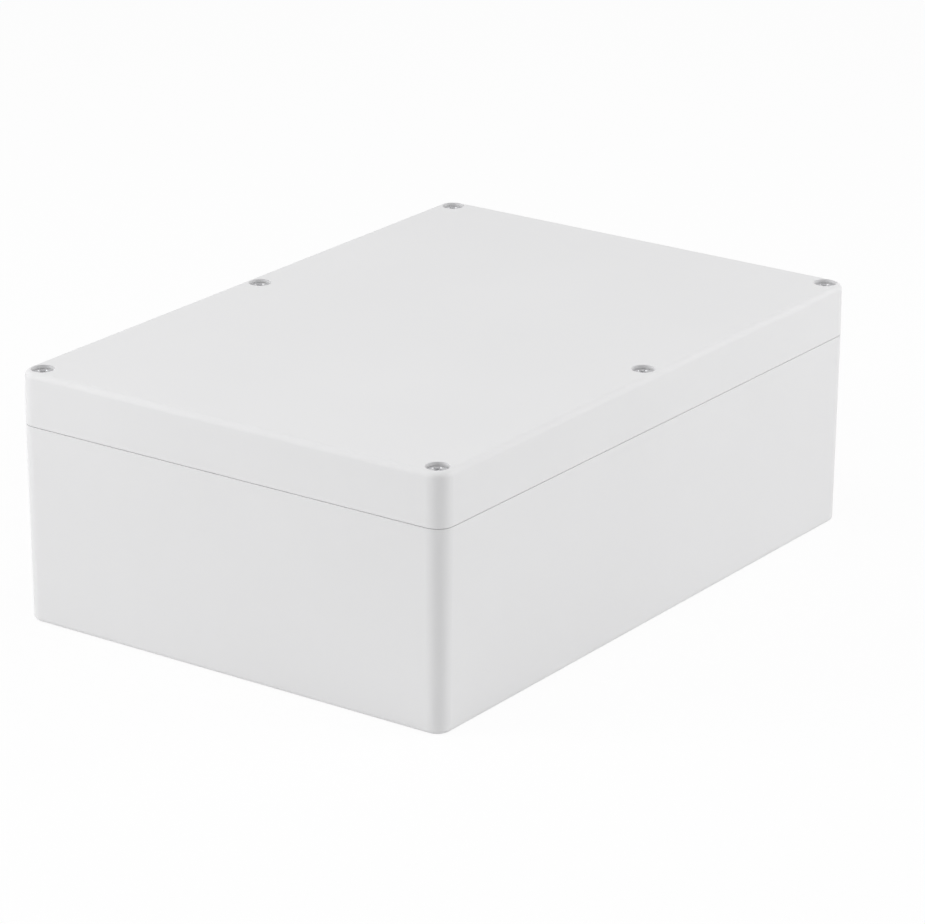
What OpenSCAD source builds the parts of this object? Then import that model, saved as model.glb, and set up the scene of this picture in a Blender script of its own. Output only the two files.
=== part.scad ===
// Sealed plastic project box: a deep base and a shallow lid, closed by six screws.
// Millimetres. +X is the length, +Y the width, +Z up. The origin is the middle of the underside.

/* [Overall size] */
// Length of the closed box, measured at the seam
box_length = 263; // [220:1:320]
// Width of the closed box, measured at the seam
box_width = 185; // [150:1:240]
// Height of the closed box, base and lid together
box_height = 95; // [80:1:140]
// Height of the lid above the seam
lid_height = 20; // [16:0.5:28]
// Radius of the upright corners at the seam
corner_radius = 6.5; // [5:0.1:8]
// Radius of the edge round the top face
top_edge_radius = 2.4; // [1:0.1:2.8]
// Radius of the edge round the underside
bottom_edge_radius = 1.8; // [0.5:0.1:2.2]
// Lean of the base's outer walls, narrower towards the underside, in degrees
base_draft = 0.6; // [0.2:0.1:1]
// Lean of the lid's outer walls, narrower towards the top, in degrees
lid_draft = 0.25; // [0.1:0.05:0.8]
// Bevel on both outer edges of the seam
seam_bevel = 0.15; // [0.05:0.05:0.3]
// Height of the fine gap between the outer edges of the base and the lid
seam_gap = 0.2; // [0.1:0.05:0.4]
// How far that gap reaches in from the outer face
seam_gap_depth = 0.6; // [0.3:0.1:0.6]

/* [Walls] */
// Thickness of the side walls at the rim
wall = 3; // [2.6:0.1:3.6]
// Thickness of the base's floor
floor_thickness = 3; // [2:0.1:5]
// Thickness of the lid's top plate
lid_thickness = 3; // [2:0.1:5]

/* [Seal] */
// Width of the tongue that stands on the base's rim
tongue_width = 1.2; // [1:0.1:1.5]
// Height of the tongue above the seam
tongue_height = 2.2; // [1.5:0.1:3]
// Gap between the tongue and each side of the lid's groove
tongue_gap = 0.3; // [0.2:0.05:0.4]
// Depth of the lid's groove above the seam
groove_depth = 5; // [4:0.1:7]
// Thickness of the lid's inner lip
lip_width = 1.2; // [0.8:0.1:2]
// How far the inner lip hangs below the seam
lip_drop = 2; // [1:0.1:4]
// Gap between the gasket and each side of the groove
gasket_gap = 0.05; // [0:0.01:0.1]

/* [Posts] */
// Distance of each lid screw from the two outer faces beside it
screw_inset = 6.5; // [6.2:0.1:8]
// Radius of a post's pad, out to the sealed area
pad_radius = 6.5; // [6.2:0.1:8]
// Distance from a corner screw to the wall-mounting hole beside it
mount_step = 12; // [11:0.5:16]

/* [Lid screws] */
// Diameter of the screw's shank, an M4 thread
shank_diameter = 4; // [3.5:0.1:4.2]
// How far the screw reaches into the base, below the seam
thread_reach = 8.5; // [6:0.5:10]
// Diameter of the screw's head
head_diameter = 8; // [7:0.1:8.2]
// Height of the screw's head
head_height = 2.4; // [2:0.1:3.5]
// Radius of the rounded edge of the head
head_edge_radius = 0.7; // [0.3:0.1:1]
// Depth of the cross recess in the head
cross_depth = 1.4; // [0.8:0.1:1.6]
// Length of each arm pair of the cross recess
cross_length = 4.4; // [3:0.1:5]
// Width of the cross recess's slots
cross_width = 1.1; // [0.8:0.1:1.4]
// How far the head's top lies below the lid
head_recess = 1.1; // [0.2:0.1:2]
// Gap round the head in its counterbore
head_gap = 0.3; // [0.2:0.05:0.5]
// Gap round the shank in the lid's hole
shank_gap = 0.25; // [0.15:0.05:0.5]

/* [Threaded inserts] */
// Outer diameter of a brass insert
insert_diameter = 6; // [5.4:0.1:6.4]
// Length of a brass insert
insert_length = 8; // [5:0.5:12]
// How far an insert lies below the top of its post
insert_sink = 0.2; // [0:0.1:0.5]
// Running gap between a screw and its insert
insert_gap = 0.06; // [0.02:0.01:0.1]
// Depth of the hole in each post
post_hole_depth = 22; // [14:1:40]

/* [Wall mounting] */
// Diameter of the wall-mounting holes
mount_hole_diameter = 4.5; // [3.5:0.1:6]
// Diameter of the well above each wall-mounting hole
well_diameter = 8.4; // [7.6:0.1:9]
// Thickness of plastic under each well
well_floor = 5; // [3:0.5:10]

/* [Inside the base] */
// Height of the board standoffs above the floor
standoff_height = 6; // [3:0.5:15]
// Diameter of a board standoff
standoff_diameter = 7; // [6:0.1:9]
// Diameter of the screw hole in a standoff
standoff_hole_diameter = 2.6; // [2:0.1:3.4]
// Distance from the inner end walls to the outer standoffs
standoff_inset_x = 23.5; // [16:0.5:35]
// Distance from the inner side walls to the outer standoffs
standoff_inset_y = 24.5; // [16:0.5:35]

/* [Hidden] */
screw_names = ["front_left", "front_middle", "front_right", "rear_left", "rear_middle", "rear_right"];
$fa = 3;
$fs = 0.3;

plastic_colour = [0.89, 0.89, 0.9];
gasket_colour = [0.75, 0.75, 0.76];
brass_colour = [0.82, 0.66, 0.32];
steel_colour = [0.72, 0.72, 0.73];

// Cuts run this far past the face they open.
overcut = 1;

seam_z = box_height - lid_height;
foot_radius = corner_radius - seam_z * tan(base_draft);
crown_radius = corner_radius - lid_height * tan(lid_draft);
core_x = box_length / 2 - corner_radius;
core_y = box_width / 2 - corner_radius;

inner_x = box_length / 2 - wall;
inner_y = box_width / 2 - wall;
screw_x = box_length / 2 - screw_inset;
screw_y = box_width / 2 - screw_inset;
mount_x = screw_x - mount_step;
screw_places = [for (y = [-screw_y, screw_y]) for (x = [-screw_x, 0, screw_x]) [x, y]];
mount_places = [for (y = [-screw_y, screw_y]) for (x = [-mount_x, mount_x]) [x, y]];

// A blend circle, level with the pad's centre, touches both the pad and the wall.
pad_blend = screw_inset - wall;
blend_x = pad_radius + pad_blend;
// Pads are drawn this far outwards from their screws, past the outer faces.
pad_reach = 2 * screw_inset;

groove_outset = tongue_width + tongue_gap;
lip_inset = tongue_gap + lip_width;

head_top_z = box_height - head_recess;
head_seat_z = head_top_z - head_height;
shank_length = head_seat_z - seam_z + thread_reach;
insert_top_z = seam_z - insert_sink;

standoff_x = inner_x - standoff_inset_x;
standoff_y = inner_y - standoff_inset_y;
standoff_places = [
    for (share = [0.5, 1]) for (x = [-share, share]) for (y = [-share, share]) [x * standoff_x, y * standoff_y]
];

// Section of the base's side, measured outwards from a corner's axis.
module base_side() {
    lean = tan(base_draft);
    round_x = foot_radius - bottom_edge_radius * (1 / cos(base_draft) - lean);
    polygon([
        [0, 0],
        [round_x, 0],
        [round_x, bottom_edge_radius],
        [
            round_x + bottom_edge_radius * cos(base_draft),
            bottom_edge_radius * (1 - sin(base_draft))
        ],
        [corner_radius - (seam_gap + seam_bevel) * lean, seam_z - seam_gap - seam_bevel],
        [corner_radius - seam_bevel, seam_z - seam_gap],
        [corner_radius - seam_gap_depth, seam_z - seam_gap],
        [corner_radius - seam_gap_depth, seam_z],
        [0, seam_z]
    ]);
    translate([round_x, bottom_edge_radius]) circle(r = bottom_edge_radius);
}

// Section of the lid's side, measured outwards from a corner's axis.
module lid_side() {
    lean = tan(lid_draft);
    round_x = crown_radius - top_edge_radius * (1 / cos(lid_draft) - lean);
    round_z = box_height - top_edge_radius;
    polygon([
        [0, seam_z],
        [corner_radius - seam_bevel, seam_z],
        [corner_radius - seam_bevel * lean, seam_z + seam_bevel],
        [
            round_x + top_edge_radius * cos(lid_draft),
            round_z + top_edge_radius * sin(lid_draft)
        ],
        [round_x, round_z],
        [round_x, box_height],
        [0, box_height]
    ]);
    translate([round_x, round_z]) circle(r = top_edge_radius);
}

// A block from low to high whose four sides and corners all follow one section.
module rounded_block(low, high) {
    translate([-core_x, -core_y, low]) cube([2 * core_x, 2 * core_y, high - low]);
    for (turn = [0 : 3]) {
        along = turn % 2 == 0 ? core_y : core_x;
        out = turn % 2 == 0 ? core_x : core_y;
        rotate([0, 0, 90 * turn]) {
            translate([out, 0, 0]) rotate([90, 0, 0])
                linear_extrude(height = 2 * along, center = true) children();
            translate([out, along, 0]) rotate_extrude(angle = 90) children();
        }
    }
}

// Outline of one post's pad, blended into the side wall on its -X side and grown by d.
module pad_end(d) {
    circle(r = pad_radius + d);
    difference() {
        translate([-blend_x, 0]) square([blend_x, pad_reach]);
        translate([-blend_x, 0]) circle(r = pad_blend - d);
    }
}

// Pad in the corner towards +X and +Y, over a lid screw and a wall-mounting hole.
module corner_pad(d) {
    edge_y = screw_y - pad_radius;
    blend_at = [inner_x - pad_blend, edge_y - pad_blend];
    translate([mount_x, screw_y]) pad_end(d);
    translate([mount_x, edge_y - d]) square([mount_step + pad_reach, screw_y + pad_reach - edge_y + d]);
    difference() {
        translate(blend_at) square([pad_blend + pad_reach, pad_blend + pad_radius]);
        translate(blend_at) circle(r = pad_blend - d);
    }
}

// Pad of the screw halfway along the +Y side.
module middle_pad(d) {
    translate([0, screw_y]) {
        pad_end(d);
        mirror([1, 0, 0]) pad_end(d);
    }
}

// Everything inside the seal, drawn in by d from the base's inner walls and pads.
module sealed_area(d) {
    difference() {
        square([2 * (inner_x - d), 2 * (inner_y - d)], center = true);
        for (flip_y = [0, 1]) mirror([0, flip_y, 0]) {
            middle_pad(d);
            for (flip_x = [0, 1]) mirror([flip_x, 0, 0]) corner_pad(d);
        }
    }
}

// Upright wall along the seal's path, between two insets.
module seal_wall(outer_inset, inner_inset, height) {
    linear_extrude(height = height) difference() {
        sealed_area(outer_inset);
        sealed_area(inner_inset);
    }
}

module standoff() {
    cylinder(d = standoff_diameter, h = standoff_height + overcut);
}

// Hole for an insert, with room below it for the tip of the screw.
module post_hole() {
    translate([0, 0, insert_top_z - insert_length]) cylinder(d = insert_diameter, h = insert_length + overcut);
    translate([0, 0, seam_z - post_hole_depth])
        cylinder(d = shank_diameter + 2 * shank_gap, h = post_hole_depth);
}

// Wall-mounting hole in the floor, under a well that is as wide as a screw's head.
module mount_well() {
    translate([0, 0, -overcut]) cylinder(d = mount_hole_diameter, h = well_floor + 2 * overcut);
    translate([0, 0, well_floor]) cylinder(d = well_diameter, h = seam_z);
}

module base_shell() {
    color(plastic_colour) difference() {
        union() {
            difference() {
                rounded_block(0, seam_z) base_side();
                translate([0, 0, floor_thickness]) linear_extrude(height = seam_z) sealed_area(0);
            }
            translate([0, 0, seam_z - overcut]) seal_wall(-tongue_width, 0, tongue_height + overcut);
            for (place = standoff_places)
                translate([place[0], place[1], floor_thickness - overcut]) standoff();
        }
        for (place = screw_places) translate(place) post_hole();
        for (place = mount_places) translate(place) mount_well();
        for (place = standoff_places) translate([place[0], place[1], floor_thickness])
            cylinder(d = standoff_hole_diameter, h = standoff_height + overcut);
    }
}

// Hole through the lid for a screw, with a counterbore for its head.
module lid_screw_hole() {
    translate([0, 0, seam_z - overcut])
        cylinder(d = shank_diameter + 2 * shank_gap, h = lid_height + overcut);
    translate([0, 0, head_seat_z])
        cylinder(d = head_diameter + 2 * head_gap, h = box_height - head_seat_z + overcut);
}

module lid() {
    color(plastic_colour) difference() {
        union() {
            difference() {
                rounded_block(seam_z, box_height) lid_side();
                translate([0, 0, seam_z - overcut])
                    linear_extrude(height = lid_height - lid_thickness + overcut) sealed_area(lip_inset);
                translate([0, 0, seam_z - overcut])
                    linear_extrude(height = groove_depth + overcut) sealed_area(-groove_outset);
            }
            translate([0, 0, seam_z - lip_drop])
                seal_wall(tongue_gap, lip_inset, lip_drop + groove_depth);
        }
        for (place = screw_places) translate(place) lid_screw_hole();
        for (place = mount_places) translate([place[0], place[1], seam_z - overcut])
            cylinder(d = well_diameter, h = lid_height - lid_thickness + overcut);
    }
}

module gasket() {
    color(gasket_colour) translate([0, 0, seam_z + tongue_height])
        seal_wall(gasket_gap - groove_outset, tongue_gap - gasket_gap, groove_depth - tongue_height);
}

module threaded_inserts() {
    color(brass_colour) for (place = screw_places)
        translate([place[0], place[1], insert_top_z - insert_length]) difference() {
            cylinder(d = insert_diameter, h = insert_length);
            translate([0, 0, -overcut])
                cylinder(d = shank_diameter + 2 * insert_gap, h = insert_length + 2 * overcut);
        }
}

// Section of half a screw, from its axis outwards.
module screw_section() {
    head_radius = head_diameter / 2;
    shank_radius = shank_diameter / 2;
    tip_bevel = shank_radius / 4;
    edge_x = head_radius - head_edge_radius;
    edge_z = head_top_z - head_edge_radius;
    polygon([
        [0, head_seat_z - shank_length],
        [shank_radius - tip_bevel, head_seat_z - shank_length],
        [shank_radius, head_seat_z - shank_length + tip_bevel],
        [shank_radius, head_seat_z],
        [head_radius, head_seat_z],
        [head_radius, edge_z],
        [edge_x, edge_z],
        [edge_x, head_top_z],
        [0, head_top_z]
    ]);
    translate([edge_x, edge_z]) circle(r = head_edge_radius);
}

module lid_screw() {
    color(steel_colour) difference() {
        rotate_extrude() screw_section();
        for (turn = [0, 90]) rotate([0, 0, turn])
            translate([-cross_length / 2, -cross_width / 2, head_top_z - cross_depth])
                cube([cross_length, cross_width, cross_depth + overcut]);
    }
}

base_shell();
lid();
gasket();
threaded_inserts();
for (i = [0 : len(screw_names) - 1])
    translate(screw_places[i]) lid_screw();
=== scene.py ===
# %% [markdown]
# # A sealed plastic project box
# The real object is a light grey box for electronics: a deep base, a shallow lid, a soft gasket
# between them and six small screws that pull the lid down into six brass inserts.
# The construction comes from a finished model, so this lesson adds what that model leaves out:
# the finish of every surface, the threads, the knurls, and the light that shows them.
# The model is loaded as a fixed frame. Its pieces are never moved or reshaped here.

# %% Load the frame
import math
import bmesh
import bpy
from mathutils import Matrix, Vector
from mathutils.geometry import convex_hull_2d


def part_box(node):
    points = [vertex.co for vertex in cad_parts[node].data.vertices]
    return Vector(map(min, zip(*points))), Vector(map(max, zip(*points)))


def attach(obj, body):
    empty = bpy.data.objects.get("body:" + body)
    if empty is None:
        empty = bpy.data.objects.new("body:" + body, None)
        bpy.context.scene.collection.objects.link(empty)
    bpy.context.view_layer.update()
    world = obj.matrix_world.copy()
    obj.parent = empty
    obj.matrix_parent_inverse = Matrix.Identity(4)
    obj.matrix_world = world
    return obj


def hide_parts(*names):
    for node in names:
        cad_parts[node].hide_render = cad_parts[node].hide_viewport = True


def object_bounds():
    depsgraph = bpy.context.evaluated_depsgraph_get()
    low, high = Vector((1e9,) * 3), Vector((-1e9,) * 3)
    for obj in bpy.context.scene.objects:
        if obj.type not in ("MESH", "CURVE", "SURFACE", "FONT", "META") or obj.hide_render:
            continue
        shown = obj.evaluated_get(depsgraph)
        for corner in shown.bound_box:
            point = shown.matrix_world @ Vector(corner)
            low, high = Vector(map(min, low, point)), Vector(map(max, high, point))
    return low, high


bpy.ops.wm.read_factory_settings(use_empty=True)
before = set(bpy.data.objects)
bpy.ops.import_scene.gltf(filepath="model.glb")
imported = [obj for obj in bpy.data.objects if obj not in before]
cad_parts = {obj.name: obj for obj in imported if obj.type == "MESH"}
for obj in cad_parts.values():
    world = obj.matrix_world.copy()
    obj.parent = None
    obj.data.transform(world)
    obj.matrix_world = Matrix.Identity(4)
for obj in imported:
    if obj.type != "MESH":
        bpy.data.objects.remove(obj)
cad_low, cad_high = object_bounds()
MM = 0.001
scene = bpy.context.scene
box_centre = (cad_low + cad_high) / 2
print("box size in mm:", [round((high - low) / MM, 1) for low, high in zip(cad_low, cad_high)])

# %% [markdown]
# ## The camera
# A box is easiest to understand when three of its faces show and its upright edges stay upright.
# A short lens close by would make the near corner bulge, so a long lens stands well back.
# Five plain values describe the camera: how far round the box it stands, how high it looks down
# from, how far away it is, how far it is shifted aside and down, and a slight roll.

# %% Place the camera
AZIMUTH = math.radians(-54.72)
ELEVATION = math.radians(19.91)
ROLL = math.radians(0.25)
DISTANCE = 1.6137
ASIDE = 6.24 * MM
LOWERED = 5.59 * MM
LENS = 170.3
SENSOR_WIDTH = 36.0


def direction(azimuth, elevation):
    """The way from the box to something that stands at an azimuth and an elevation."""
    flat = math.cos(elevation)
    return Vector((math.sin(azimuth) * flat, -math.cos(azimuth) * flat, math.sin(elevation)))


camera_data = bpy.data.cameras.new("camera")
camera_data.lens = LENS
camera_data.sensor_width = SENSOR_WIDTH
camera = bpy.data.objects.new("camera", camera_data)
scene.collection.objects.link(camera)
scene.camera = camera

back = direction(AZIMUTH, ELEVATION)
right = Vector((math.cos(AZIMUTH), math.sin(AZIMUTH), 0.0))
up = back.cross(right)
camera.location = box_centre + back * DISTANCE + right * ASIDE - up * LOWERED
facing = Matrix((right, up, back)).transposed()
camera.rotation_euler = (facing @ Matrix.Rotation(ROLL, 3, "Z")).to_euler()
print("camera stands", round(DISTANCE, 2), "m away")


# %% [markdown]
# ## Building node trees
# Materials and Geometry Nodes are both trees of nodes. Small helpers keep the recipes short: one
# adds a node and fills in or links its inputs, and two more start a material and set its values.

# %% Node helpers
def add(tree, kind, inputs=(), **settings):
    """Adds a node, sets its options, and fills or links its inputs by name or number."""
    node = tree.nodes.new(kind)
    for name, value in settings.items():
        setattr(node, name, value)
    for name, value in dict(inputs).items():
        if isinstance(value, bpy.types.NodeSocket):
            tree.links.new(value, node.inputs[name])
        else:
            node.inputs[name].default_value = value
    return node


def new_material(name):
    """An empty node material with its shader and its object coordinates."""
    material = bpy.data.materials.new(name)
    material.use_nodes = True
    tree = material.node_tree
    tree.nodes.clear()
    shader = add(tree, "ShaderNodeBsdfPrincipled")
    output = add(tree, "ShaderNodeOutputMaterial")
    tree.links.new(shader.outputs["BSDF"], output.inputs["Surface"])
    place = add(tree, "ShaderNodeTexCoord").outputs["Object"]
    return material, tree, shader, place


def set_inputs(shader, **values):
    """Sets plain values by name, with an underscore for each space in the name."""
    for name, value in values.items():
        shader.inputs[name.replace("_", " ")].default_value = value


# %% [markdown]
# ## White surroundings that keep a shadow
# The box stands on white. Pouring more light on the floor would burn out the box as well, so the
# white comes from the floor's own material: rays from the camera see it mostly as white paper that
# glows, and partly as a real surface, which is what lets the soft shadow show.
# Two things let the underside be looked at too. The floor is clear to rays that come from below,
# and it is open where the flat underside stands, since two faces at one height would flicker.

# %% Floor and world
GLOW_SHARE = 0.92
WORLD_LEVEL = 0.45
FLOOR_SIZE = 30.0
FOOT_TOLERANCE = 0.01 * MM
PAPER_COLOUR = (0.9, 0.9, 0.9, 1)


def seen_directly(tree):
    """1 for rays that should find a white background: camera, glossy and transmission rays."""
    rays = add(tree, "ShaderNodeLightPath")
    seen = rays.outputs["Is Camera Ray"]
    for kind in ("Is Glossy Ray", "Is Transmission Ray"):
        seen = add(tree, "ShaderNodeMath", {0: seen, 1: rays.outputs[kind]}, operation="MAXIMUM").outputs[0]
    return seen


floor_material = bpy.data.materials.new("white_floor")
floor_material.use_nodes = True
tree = floor_material.node_tree
tree.nodes.clear()
paper = add(tree, "ShaderNodeBsdfDiffuse", {"Color": PAPER_COLOUR})
glow = add(tree, "ShaderNodeEmission", {"Color": (1, 1, 1, 1), "Strength": 1.0})
share = add(tree, "ShaderNodeMath", {0: seen_directly(tree), 1: GLOW_SHARE}, operation="MULTIPLY")
mixed = add(tree, "ShaderNodeMixShader", {0: share.outputs[0], 1: paper.outputs[0], 2: glow.outputs[0]})
clear = add(tree, "ShaderNodeBsdfTransparent")
from_below = add(tree, "ShaderNodeNewGeometry").outputs["Backfacing"]
one_sided = add(tree, "ShaderNodeMixShader", {0: from_below, 1: mixed.outputs[0], 2: clear.outputs[0]})
add(tree, "ShaderNodeOutputMaterial", {"Surface": one_sided.outputs[0]})

# The sheet runs from the outline of the underside out to a large square.
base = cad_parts["base_shell"]
base_points = [base.matrix_world @ vertex.co for vertex in base.data.vertices]
foot = [Vector((p.x, p.y)) for p in base_points if p.z < cad_low.z + FOOT_TOLERANCE]
inner = [foot[i] for i in convex_hull_2d(foot)]
outer = [p * FLOOR_SIZE / 2 / max(abs(p.x), abs(p.y)) for p in inner]
count = len(inner)
strips = [(i, i + count, (i + 1) % count + count, (i + 1) % count) for i in range(count)]
sheet = bpy.data.meshes.new("floor")
sheet.from_pydata([(p.x, p.y, cad_low.z) for p in inner + outer], [], strips)
sheet.materials.append(floor_material)
floor = bpy.data.objects.new("floor", sheet)
scene.collection.objects.link(floor)

world = bpy.data.worlds.new("studio")
scene.world = world
world.use_nodes = True
tree = world.node_tree
tree.nodes.clear()
level = add(tree, "ShaderNodeMapRange", {"Value": seen_directly(tree), "To Min": WORLD_LEVEL, "To Max": 1.0})
air = add(tree, "ShaderNodeBackground", {"Color": (1, 1, 1, 1), "Strength": level.outputs[0]})
add(tree, "ShaderNodeOutputWorld", {"Surface": air.outputs[0]})
print("floor at", round(cad_low.z, 4), "m, opening of", count, "points")

# %% [markdown]
# ## Soft lamps at both sides
# Light grey plastic has little colour of its own, so light draws its edges. Large lamps stand at
# both sides and none near the camera: each side face is bright, and the rounded upright edge that
# points at the camera turns into a soft darker band. No lamp stands opposite the camera, because
# the far edges would then melt into the white. A wide lamp hangs above.
# The powers are kept low, so that a colour renders about as it is written.

# %% Soft boxes
LAMPS = {
    # name: (turn from the camera in degrees, elevation in degrees, distance, width, power in watts)
    "lamp_left": (-78, 20, 1.6, 0.8, 9.3),
    "lamp_left_high": (-100, 50, 1.6, 0.9, 2.45),
    "lamp_right": (90, 22, 1.6, 1.1, 10.6),
    "lamp_top": (0, 80, 1.6, 1.4, 7.1),
}
for name, (turn, elevation, distance, width, power) in LAMPS.items():
    away = direction(AZIMUTH + math.radians(turn), math.radians(elevation))
    data = bpy.data.lights.new(name, "AREA")
    data.shape = "SQUARE"
    data.size = width
    data.energy = power
    lamp = bpy.data.objects.new(name, data)
    lamp.location = box_centre + away * distance
    lamp.rotation_euler = away.to_track_quat("Z", "Y").to_euler()
    lamp.visible_camera = False
    scene.collection.objects.link(lamp)
print(len(LAMPS), "lamps")

scene.view_settings.view_transform = "Standard"

# %% [markdown]
# ## Moulded plastic
# The shells are ABS with a fine satin grain from the mould. A single flat colour would look like
# paper, so three things are layered: a very slight change of tone over some centimetres, a
# roughness that wanders a little, and a grain of a few tenths of a millimetre as bump.

# %% Box plastic
PLASTIC_COLOUR = (0.777, 0.776, 0.781)
TONE_FACTORS = (0.975, 1.015)
PLASTIC_ROUGHNESS = (0.52, 0.62)
CLOUD_SCALE = 14.0
GRAIN_SCALE = 2600.0
GRAIN_STRENGTH = 0.35
GRAIN_DEPTH = 0.00004

plastic, tree, shader, place = new_material("box_plastic_satin")
set_inputs(shader, IOR=1.45, Specular_IOR_Level=0.3)
cloud = add(tree, "ShaderNodeTexNoise", {"Vector": place, "Scale": CLOUD_SCALE, "Detail": 3.0})
darker, lighter = (tuple(factor * channel for channel in PLASTIC_COLOUR) + (1,) for factor in TONE_FACTORS)
tone = add(tree, "ShaderNodeMix", {"Factor": cloud.outputs["Fac"]}, data_type="RGBA")
tone.inputs[6].default_value = darker
tone.inputs[7].default_value = lighter
tree.links.new(tone.outputs[2], shader.inputs["Base Color"])
gloss = add(tree, "ShaderNodeMapRange", {
    "Value": cloud.outputs["Fac"], "To Min": PLASTIC_ROUGHNESS[0], "To Max": PLASTIC_ROUGHNESS[1]})
tree.links.new(gloss.outputs[0], shader.inputs["Roughness"])
grain = add(tree, "ShaderNodeTexNoise", {"Vector": place, "Scale": GRAIN_SCALE, "Detail": 2.0})
relief = add(tree, "ShaderNodeBump", {
    "Height": grain.outputs["Fac"], "Strength": GRAIN_STRENGTH, "Distance": GRAIN_DEPTH})
tree.links.new(relief.outputs[0], shader.inputs["Normal"])

for name in ("base_shell", "lid"):
    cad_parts[name].data.materials[0] = plastic
print("plastic on the base and the lid")

# %% [markdown]
# ## Rubber, brass and steel
# The gasket is dull and slightly mottled. Brass and steel are metals: they have no colour of their
# own apart from what they reflect, so their colour goes into the reflection. A fine unevenness of
# the roughness is what keeps a machined surface from looking like chrome.

# %% Rubber and metals
def finish_of(name, colour, metallic, roughness, noise_scale):
    """A plain material whose roughness wanders between two values with a fine noise."""
    material, tree, shader, place = new_material(name)
    set_inputs(shader, Base_Color=colour + (1,), Metallic=metallic)
    noise = add(tree, "ShaderNodeTexNoise", {"Vector": place, "Scale": noise_scale, "Detail": 2.0})
    spread = add(tree, "ShaderNodeMapRange", {
        "Value": noise.outputs["Fac"], "To Min": roughness[0], "To Max": roughness[1]})
    tree.links.new(spread.outputs[0], shader.inputs["Roughness"])
    return material


rubber = finish_of("gasket_foam_rubber", (0.5, 0.5, 0.51), 0.0, (0.8, 0.95), 900.0)
brass = finish_of("insert_brass_turned", (0.72, 0.52, 0.22), 1.0, (0.28, 0.42), 1500.0)
steel = finish_of("screw_steel_plated", (0.55, 0.55, 0.56), 1.0, (0.34, 0.46), 1800.0)
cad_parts["gasket"].data.materials[0] = rubber
print("materials:", [m.name for m in (rubber, brass, steel)])

# %% [markdown]
# ## Turned blanks
# A screw and an insert both start as a profile turned about an axis, as on a lathe. The profile is
# a list of radius and height, and each pair becomes one ring of the mesh.

# %% A small lathe
SHARP_ANGLE = math.radians(32)


def lathe(name, profile, segments=96):
    """A closed mesh turned about Z from (radius, height) pairs; a radius of 0 closes it at the axis."""
    shape = bmesh.new()
    rings = []
    for radius, height in profile:
        if radius == 0:
            rings.append([shape.verts.new((0, 0, height))])
            continue
        turns = [2 * math.pi * i / segments for i in range(segments)]
        rings.append([shape.verts.new((radius * math.cos(t), radius * math.sin(t), height)) for t in turns])
    pairs = list(zip(rings, rings[1:]))
    if profile[0][0] and profile[-1][0]:
        pairs.append((rings[-1], rings[0]))
    for first, second in pairs:
        for i in range(segments):
            j = (i + 1) % segments
            lower = [first[i % len(first)], first[j % len(first)]]
            upper = [second[j % len(second)], second[i % len(second)]]
            shape.faces.new(list(dict.fromkeys(lower + upper)))
    bmesh.ops.recalc_face_normals(shape, faces=shape.faces)
    mesh = bpy.data.meshes.new(name)
    shape.to_mesh(mesh)
    shape.free()
    return bpy.data.objects.new(name, mesh)


def place_of(node):
    """The axis of an upright CAD node, with its lowest and highest height and its radius."""
    low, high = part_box(node)
    return (low.x + high.x) / 2, (low.y + high.y) / 2, low.z, high.z, (high.x - low.x) / 2


def run_tree(blank, tree, values, name):
    """Runs a tree on a blank and keeps the result as one plain mesh, smooth at gentle angles."""
    scene.collection.objects.link(blank)
    modifier = blank.modifiers.new("tree", "NODES")
    modifier.node_group = tree
    for item in tree.interface.items_tree:
        if item.item_type == "SOCKET" and item.in_out == "INPUT" and item.name in values:
            modifier[item.identifier] = values[item.name]
    bpy.context.view_layer.update()
    evaluated = blank.evaluated_get(bpy.context.evaluated_depsgraph_get())
    result = bpy.data.meshes.new_from_object(evaluated)
    scene.collection.objects.unlink(blank)
    shape = bmesh.new()
    shape.from_mesh(result)
    bmesh.ops.recalc_face_normals(shape, faces=shape.faces)
    shape.to_mesh(result)
    shape.free()
    result.polygons.foreach_set("material_index", [0] * len(result.polygons))
    result.materials.clear()
    result.materials.append(values["Metal"])
    result.shade_smooth()
    result.set_sharp_from_angle(angle=SHARP_ANGLE)
    piece = bpy.data.objects.new(name, result)
    scene.collection.objects.link(piece)
    return piece


def new_tree(name, **inputs):
    """A Geometry Nodes tree with a geometry in and out, and named inputs: (socket kind, default)."""
    tree = bpy.data.node_groups.new(name, "GeometryNodeTree")
    tree.interface.new_socket("Geometry", in_out="INPUT", socket_type="NodeSocketGeometry")
    tree.interface.new_socket("Geometry", in_out="OUTPUT", socket_type="NodeSocketGeometry")
    for label, (kind, default) in inputs.items():
        label = label.replace("_", " ")
        socket = tree.interface.new_socket(label, in_out="INPUT", socket_type="NodeSocket" + kind)
        if default is not None:
            socket.default_value = default
    return tree, tree.nodes.new("NodeGroupInput").outputs


def end_tree(tree, geometry, metal):
    """Ends a tree: the instances become real mesh and get their metal."""
    real = add(tree, "GeometryNodeRealizeInstances", {0: geometry})
    coated = add(tree, "GeometryNodeSetMaterial", {"Geometry": real.outputs[0], "Material": metal})
    add(tree, "NodeGroupOutput", {0: coated.outputs[0]})


# %% [markdown]
# ## Lid screws
# Each screw is turned as a blank: a pan head with a rounded edge on a plain core. The cross recess
# is cut with a cutter that narrows downwards, as the driver bit does. The thread is a ridge
# swept along a spiral, kept just inside the plain shank of the solid model, and faded at both ends.

# %% Screw blank, cross recess and thread
HEAD_HEIGHT = 2.4 * MM
HEAD_EDGE = 0.7 * MM
CORE_RADIUS = 1.62 * MM
CREST_RADIUS = 1.99 * MM
PITCH = 0.7 * MM
RECESS_DEPTH = 1.4 * MM
CUTTER_ABOVE_HEAD = 0.2 * MM
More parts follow.
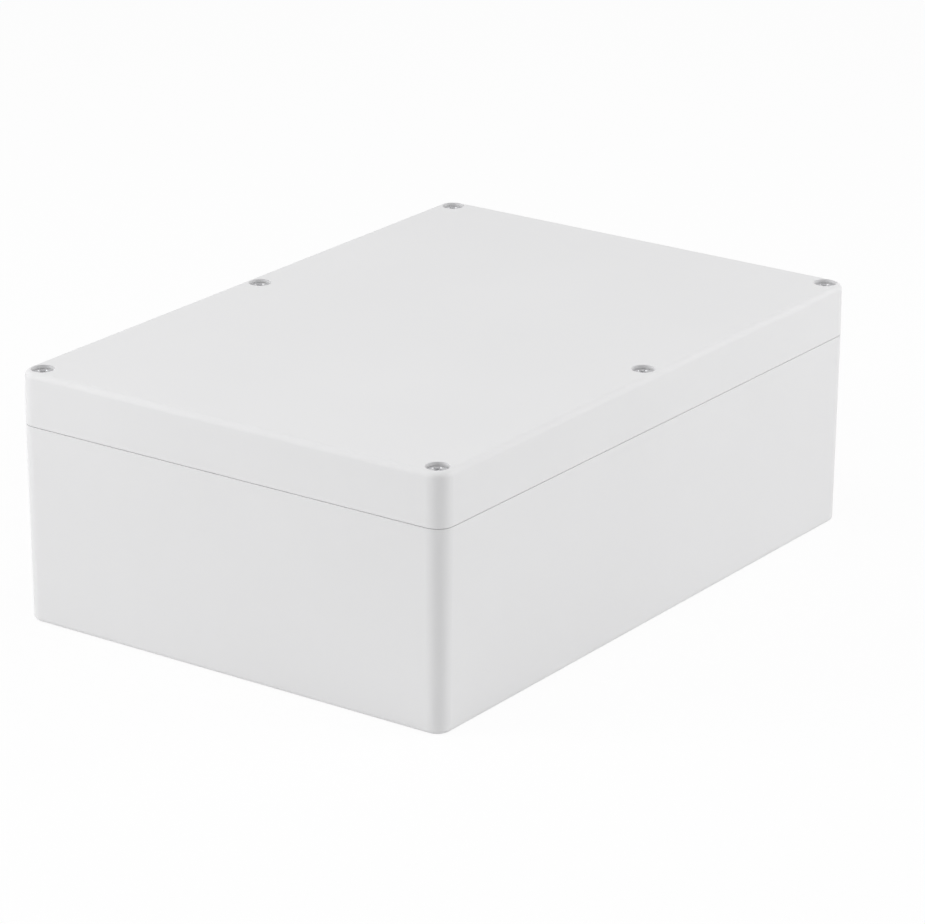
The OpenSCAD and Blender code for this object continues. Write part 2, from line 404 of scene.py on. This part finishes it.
# Length and breadth of one wedge of the cutter in millimetres, above the head and at the floor
WEDGE_TOP = (4.6, 1.2)
WEDGE_FLOOR = (2.0, 0.7)
THREAD_ABOVE_TIP = 0.6 * PITCH
THREAD_BELOW_SEAT = 2.6 * PITCH
THREAD_FADE = 0.06
THINNEST = 0.03
# Half the height of the ridge at its root and at its crest, and how far its root is sunk
ROOT_HALF = 0.43 * PITCH
CREST_HALF = 0.08 * PITCH
ROOT_SUNK = 0.05 * MM


def cross_cutter(top_z):
    """Two crossed wedges that narrow downwards."""
    shape = bmesh.new()
    for turn in (0, math.pi / 2):
        corners = []
        for height, (length, breadth) in ((top_z + CUTTER_ABOVE_HEAD, WEDGE_TOP),
                                          (top_z - RECESS_DEPTH, WEDGE_FLOOR)):
            for x, y in ((-1, -1), (1, -1), (1, 1), (-1, 1)):
                spot = Vector((x * length / 2 * MM, y * breadth / 2 * MM, height))
                corners.append(shape.verts.new(Matrix.Rotation(turn, 3, "Z") @ spot))
        for face in ((0, 1, 2, 3), (7, 6, 5, 4), (0, 4, 5, 1), (1, 5, 6, 2), (2, 6, 7, 3), (3, 7, 4, 0)):
            shape.faces.new([corners[i] for i in face])
    bmesh.ops.recalc_face_normals(shape, faces=shape.faces)
    mesh = bpy.data.meshes.new("cross_cutter")
    shape.to_mesh(mesh)
    shape.free()
    return bpy.data.objects.new("cross_cutter", mesh)


def screw_blank(tip_z, top_z, head_radius):
    """A pan head with a rounded edge, a short plain neck, and a thinner core with a bevelled tip."""
    seat_z = top_z - HEAD_HEIGHT
    arc = [(head_radius - HEAD_EDGE * (1 - math.cos(a)), top_z - HEAD_EDGE * (1 - math.sin(a)))
           for a in (math.radians(15 * step) for step in range(7))]
    tip = [(0, tip_z), (CORE_RADIUS * 0.75, tip_z), (CORE_RADIUS, tip_z + 0.5 * MM)]
    neck = [(CORE_RADIUS, seat_z - 3 * PITCH), (CREST_RADIUS, seat_z - 2.4 * PITCH), (CREST_RADIUS, seat_z)]
    return lathe("screw_blank", tip + neck + [(head_radius, seat_z)] + arc + [(0, top_z)])


thread_tree, given = new_tree(
    "screw_thread", Place=("Vector", None), Start=("Float", 0.0), Length=("Float", 0.01),
    Pitch=("Float", PITCH), Core_Radius=("Float", CORE_RADIUS), Cutter=("Object", None),
    Metal=("Material", None))
tree = thread_tree
turns = add(tree, "ShaderNodeMath", {0: given["Length"], 1: given["Pitch"]}, operation="DIVIDE")
spiral = add(tree, "GeometryNodeCurveSpiral", {
    "Resolution": 40, "Rotations": turns.outputs[0], "Start Radius": given["Core Radius"],
    "End Radius": given["Core Radius"], "Height": given["Length"], "Reverse": True})
upright = add(tree, "GeometryNodeSetCurveNormal", {"Curve": spiral.outputs[0]}, mode="Z_UP")
along = add(tree, "GeometryNodeSplineParameter").outputs["Factor"]
fade_in = add(tree, "ShaderNodeMapRange", {"Value": along, "From Max": THREAD_FADE})
fade_out = add(tree, "ShaderNodeMapRange", {
    "Value": along, "From Min": 1.0 - THREAD_FADE, "To Min": 1.0, "To Max": 0.0})
faded = add(tree, "ShaderNodeMath", {0: fade_in.outputs[0], 1: fade_out.outputs[0]}, operation="MINIMUM")
sized = add(tree, "ShaderNodeMath", {0: faded.outputs[0], 1: THINNEST}, operation="MAXIMUM")
ridge = CREST_RADIUS - CORE_RADIUS
section = add(tree, "GeometryNodeCurvePrimitiveQuadrilateral", mode="POINTS", inputs={
    "Point 1": (-ROOT_SUNK, -ROOT_HALF, 0), "Point 2": (ridge, -CREST_HALF, 0),
    "Point 3": (ridge, CREST_HALF, 0), "Point 4": (-ROOT_SUNK, ROOT_HALF, 0)})
swept = add(tree, "GeometryNodeCurveToMesh", {
    "Curve": upright.outputs[0], "Profile Curve": section.outputs[0], "Scale": sized.outputs[0],
    "Fill Caps": True})
lift = add(tree, "ShaderNodeCombineXYZ", {"Z": given["Start"]})
raised = add(tree, "GeometryNodeTransform", {"Geometry": swept.outputs[0], "Translation": lift.outputs[0]})
bit = add(tree, "GeometryNodeObjectInfo", {"Object": given["Cutter"]})
# The two wedges of the cutter cross, so the cut has to allow for self intersection.
cut = add(tree, "GeometryNodeMeshBoolean", {"Self Intersection": True},
          operation="DIFFERENCE", solver="EXACT")
tree.links.new(given["Geometry"], cut.inputs["Mesh 1"])
tree.links.new(bit.outputs["Geometry"], cut.inputs["Mesh 2"])
both = add(tree, "GeometryNodeJoinGeometry")
tree.links.new(cut.outputs["Mesh"], both.inputs[0])
tree.links.new(raised.outputs[0], both.inputs[0])
placed = add(tree, "GeometryNodeTransform", {"Geometry": both.outputs[0], "Translation": given["Place"]})
end_tree(tree, placed.outputs[0], given["Metal"])

screw_nodes = sorted(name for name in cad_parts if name.startswith("lid_screw_"))
for name in screw_nodes:
    x, y, tip_z, top_z, head_radius = place_of(name)
    top_of_thread = top_z - HEAD_HEIGHT - THREAD_BELOW_SEAT
    start = tip_z + THREAD_ABOVE_TIP
    values = {"Place": (x, y, 0), "Start": start, "Length": top_of_thread - start, "Pitch": PITCH,
              "Core Radius": CORE_RADIUS, "Cutter": cross_cutter(top_z), "Metal": steel}
    piece = run_tree(screw_blank(tip_z, top_z, head_radius), thread_tree, values, "threaded_" + name)
    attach(piece, name.replace("lid_screw_", "screw_"))
    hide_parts(name)
print(len(screw_nodes), "screws of", len(piece.data.polygons), "faces each")

# %% [markdown]
# ## Brass inserts
# An insert grips the plastic with two bands of slanted ribs, one leaning each way so that it can
# neither turn nor pull out. One rib is instanced round a circle for each band, and the finished
# insert is instanced on a grid that has a point at every screw.

# %% Inserts with two knurled bands
RIB_COUNT = 30
RIB_LEAN = 0.2
RIB_SIZE = (0.36 * MM, 0.3 * MM, 2.5 * MM)
RIB_SUNK = 0.24 * MM
LOWER_BAND = 1.8 * MM
UPPER_BAND = 5.8 * MM
BORE_RADIUS = 2.06 * MM
BEVEL_RADIUS = 2.3 * MM
PROFILE_HEIGHT = 8.0


def insert_blank(length, outer_radius):
    """A bush with a bevelled bore, a groove round its middle and a wider rim at the top.

    The heights are written for a bush of PROFILE_HEIGHT and stretched to the real length.
    """
    body_radius = outer_radius - 0.25 * MM
    groove_radius = outer_radius - 0.55 * MM
    rim_radius = outer_radius - 0.02 * MM
    lower = [(BORE_RADIUS, 0.25), (BEVEL_RADIUS, 0), (2.6 * MM, 0), (body_radius, 0.3)]
    groove = [(body_radius, 3.3), (groove_radius, 3.5), (groove_radius, 4.3), (body_radius, 4.5)]
    rim = [(body_radius, 7.1), (rim_radius, 7.2), (rim_radius, 7.9), (rim_radius - 0.08 * MM, 8.0)]
    profile = lower + groove + rim + [(BEVEL_RADIUS, 8.0), (BORE_RADIUS, 7.75)]
    return lathe("insert_blank", [(radius, height / PROFILE_HEIGHT * length) for radius, height in profile])


insert_tree, given = new_tree(
    "knurled_inserts", Spacing_X=("Float", 0.1), Spacing_Y=("Float", 0.1), Foot=("Float", 0.0),
    Rib_Count=("Int", RIB_COUNT), Rib_Radius=("Float", 0.003), Metal=("Material", None))
tree = insert_tree
ring = add(tree, "GeometryNodeMeshCircle", {"Vertices": given["Rib Count"], "Radius": given["Rib Radius"]})
position = add(tree, "GeometryNodeInputPosition").outputs[0]
outwards = add(tree, "FunctionNodeAlignRotationToVector", {"Vector": position}, axis="X")
rib = add(tree, "GeometryNodeMeshCube", {"Size": RIB_SIZE})
joined = add(tree, "GeometryNodeJoinGeometry")
for middle, lean in ((LOWER_BAND, RIB_LEAN), (UPPER_BAND, -RIB_LEAN)):
    band = add(tree, "GeometryNodeInstanceOnPoints", {
        "Points": ring.outputs[0], "Instance": rib.outputs[0], "Rotation": outwards.outputs[0]})
    slanted = add(tree, "GeometryNodeRotateInstances", {
        "Instances": band.outputs[0], "Rotation": (lean, 0, 0), "Local Space": True})
    lifted = add(tree, "GeometryNodeTransform", {
        "Geometry": slanted.outputs[0], "Translation": (0, 0, middle)})
    tree.links.new(lifted.outputs[0], joined.inputs[0])
tree.links.new(given["Geometry"], joined.inputs[0])
spots = add(tree, "GeometryNodeMeshGrid", {
    "Size X": given["Spacing X"], "Size Y": given["Spacing Y"], "Vertices X": 3, "Vertices Y": 2})
single = add(tree, "GeometryNodeInstanceOnPoints", {
    "Points": spots.outputs[0], "Instance": joined.outputs[0]})
foot = add(tree, "ShaderNodeCombineXYZ", {"Z": given["Foot"]})
stood = add(tree, "GeometryNodeTransform", {"Geometry": single.outputs[0], "Translation": foot.outputs[0]})
end_tree(tree, stood.outputs[0], given["Metal"])

screw_spots = [place_of(name)[:2] for name in screw_nodes]
low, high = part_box("threaded_inserts")
insert_radius = high.x - max(x for x, y in screw_spots)
spacing_x = 2 * max(x for x, y in screw_spots)
spacing_y = 2 * max(y for x, y in screw_spots)
values = {"Spacing X": spacing_x, "Spacing Y": spacing_y, "Foot": low.z, "Rib Count": RIB_COUNT,
          "Rib Radius": insert_radius - RIB_SUNK, "Metal": brass}
inserts = run_tree(insert_blank(high.z - low.z, insert_radius), insert_tree, values, "knurled_inserts")
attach(inserts, "base")
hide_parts("threaded_inserts")
faces = len(inserts.data.polygons)
print("inserts reach", round(insert_radius / MM, 2), "mm from their axes,", faces, "faces")
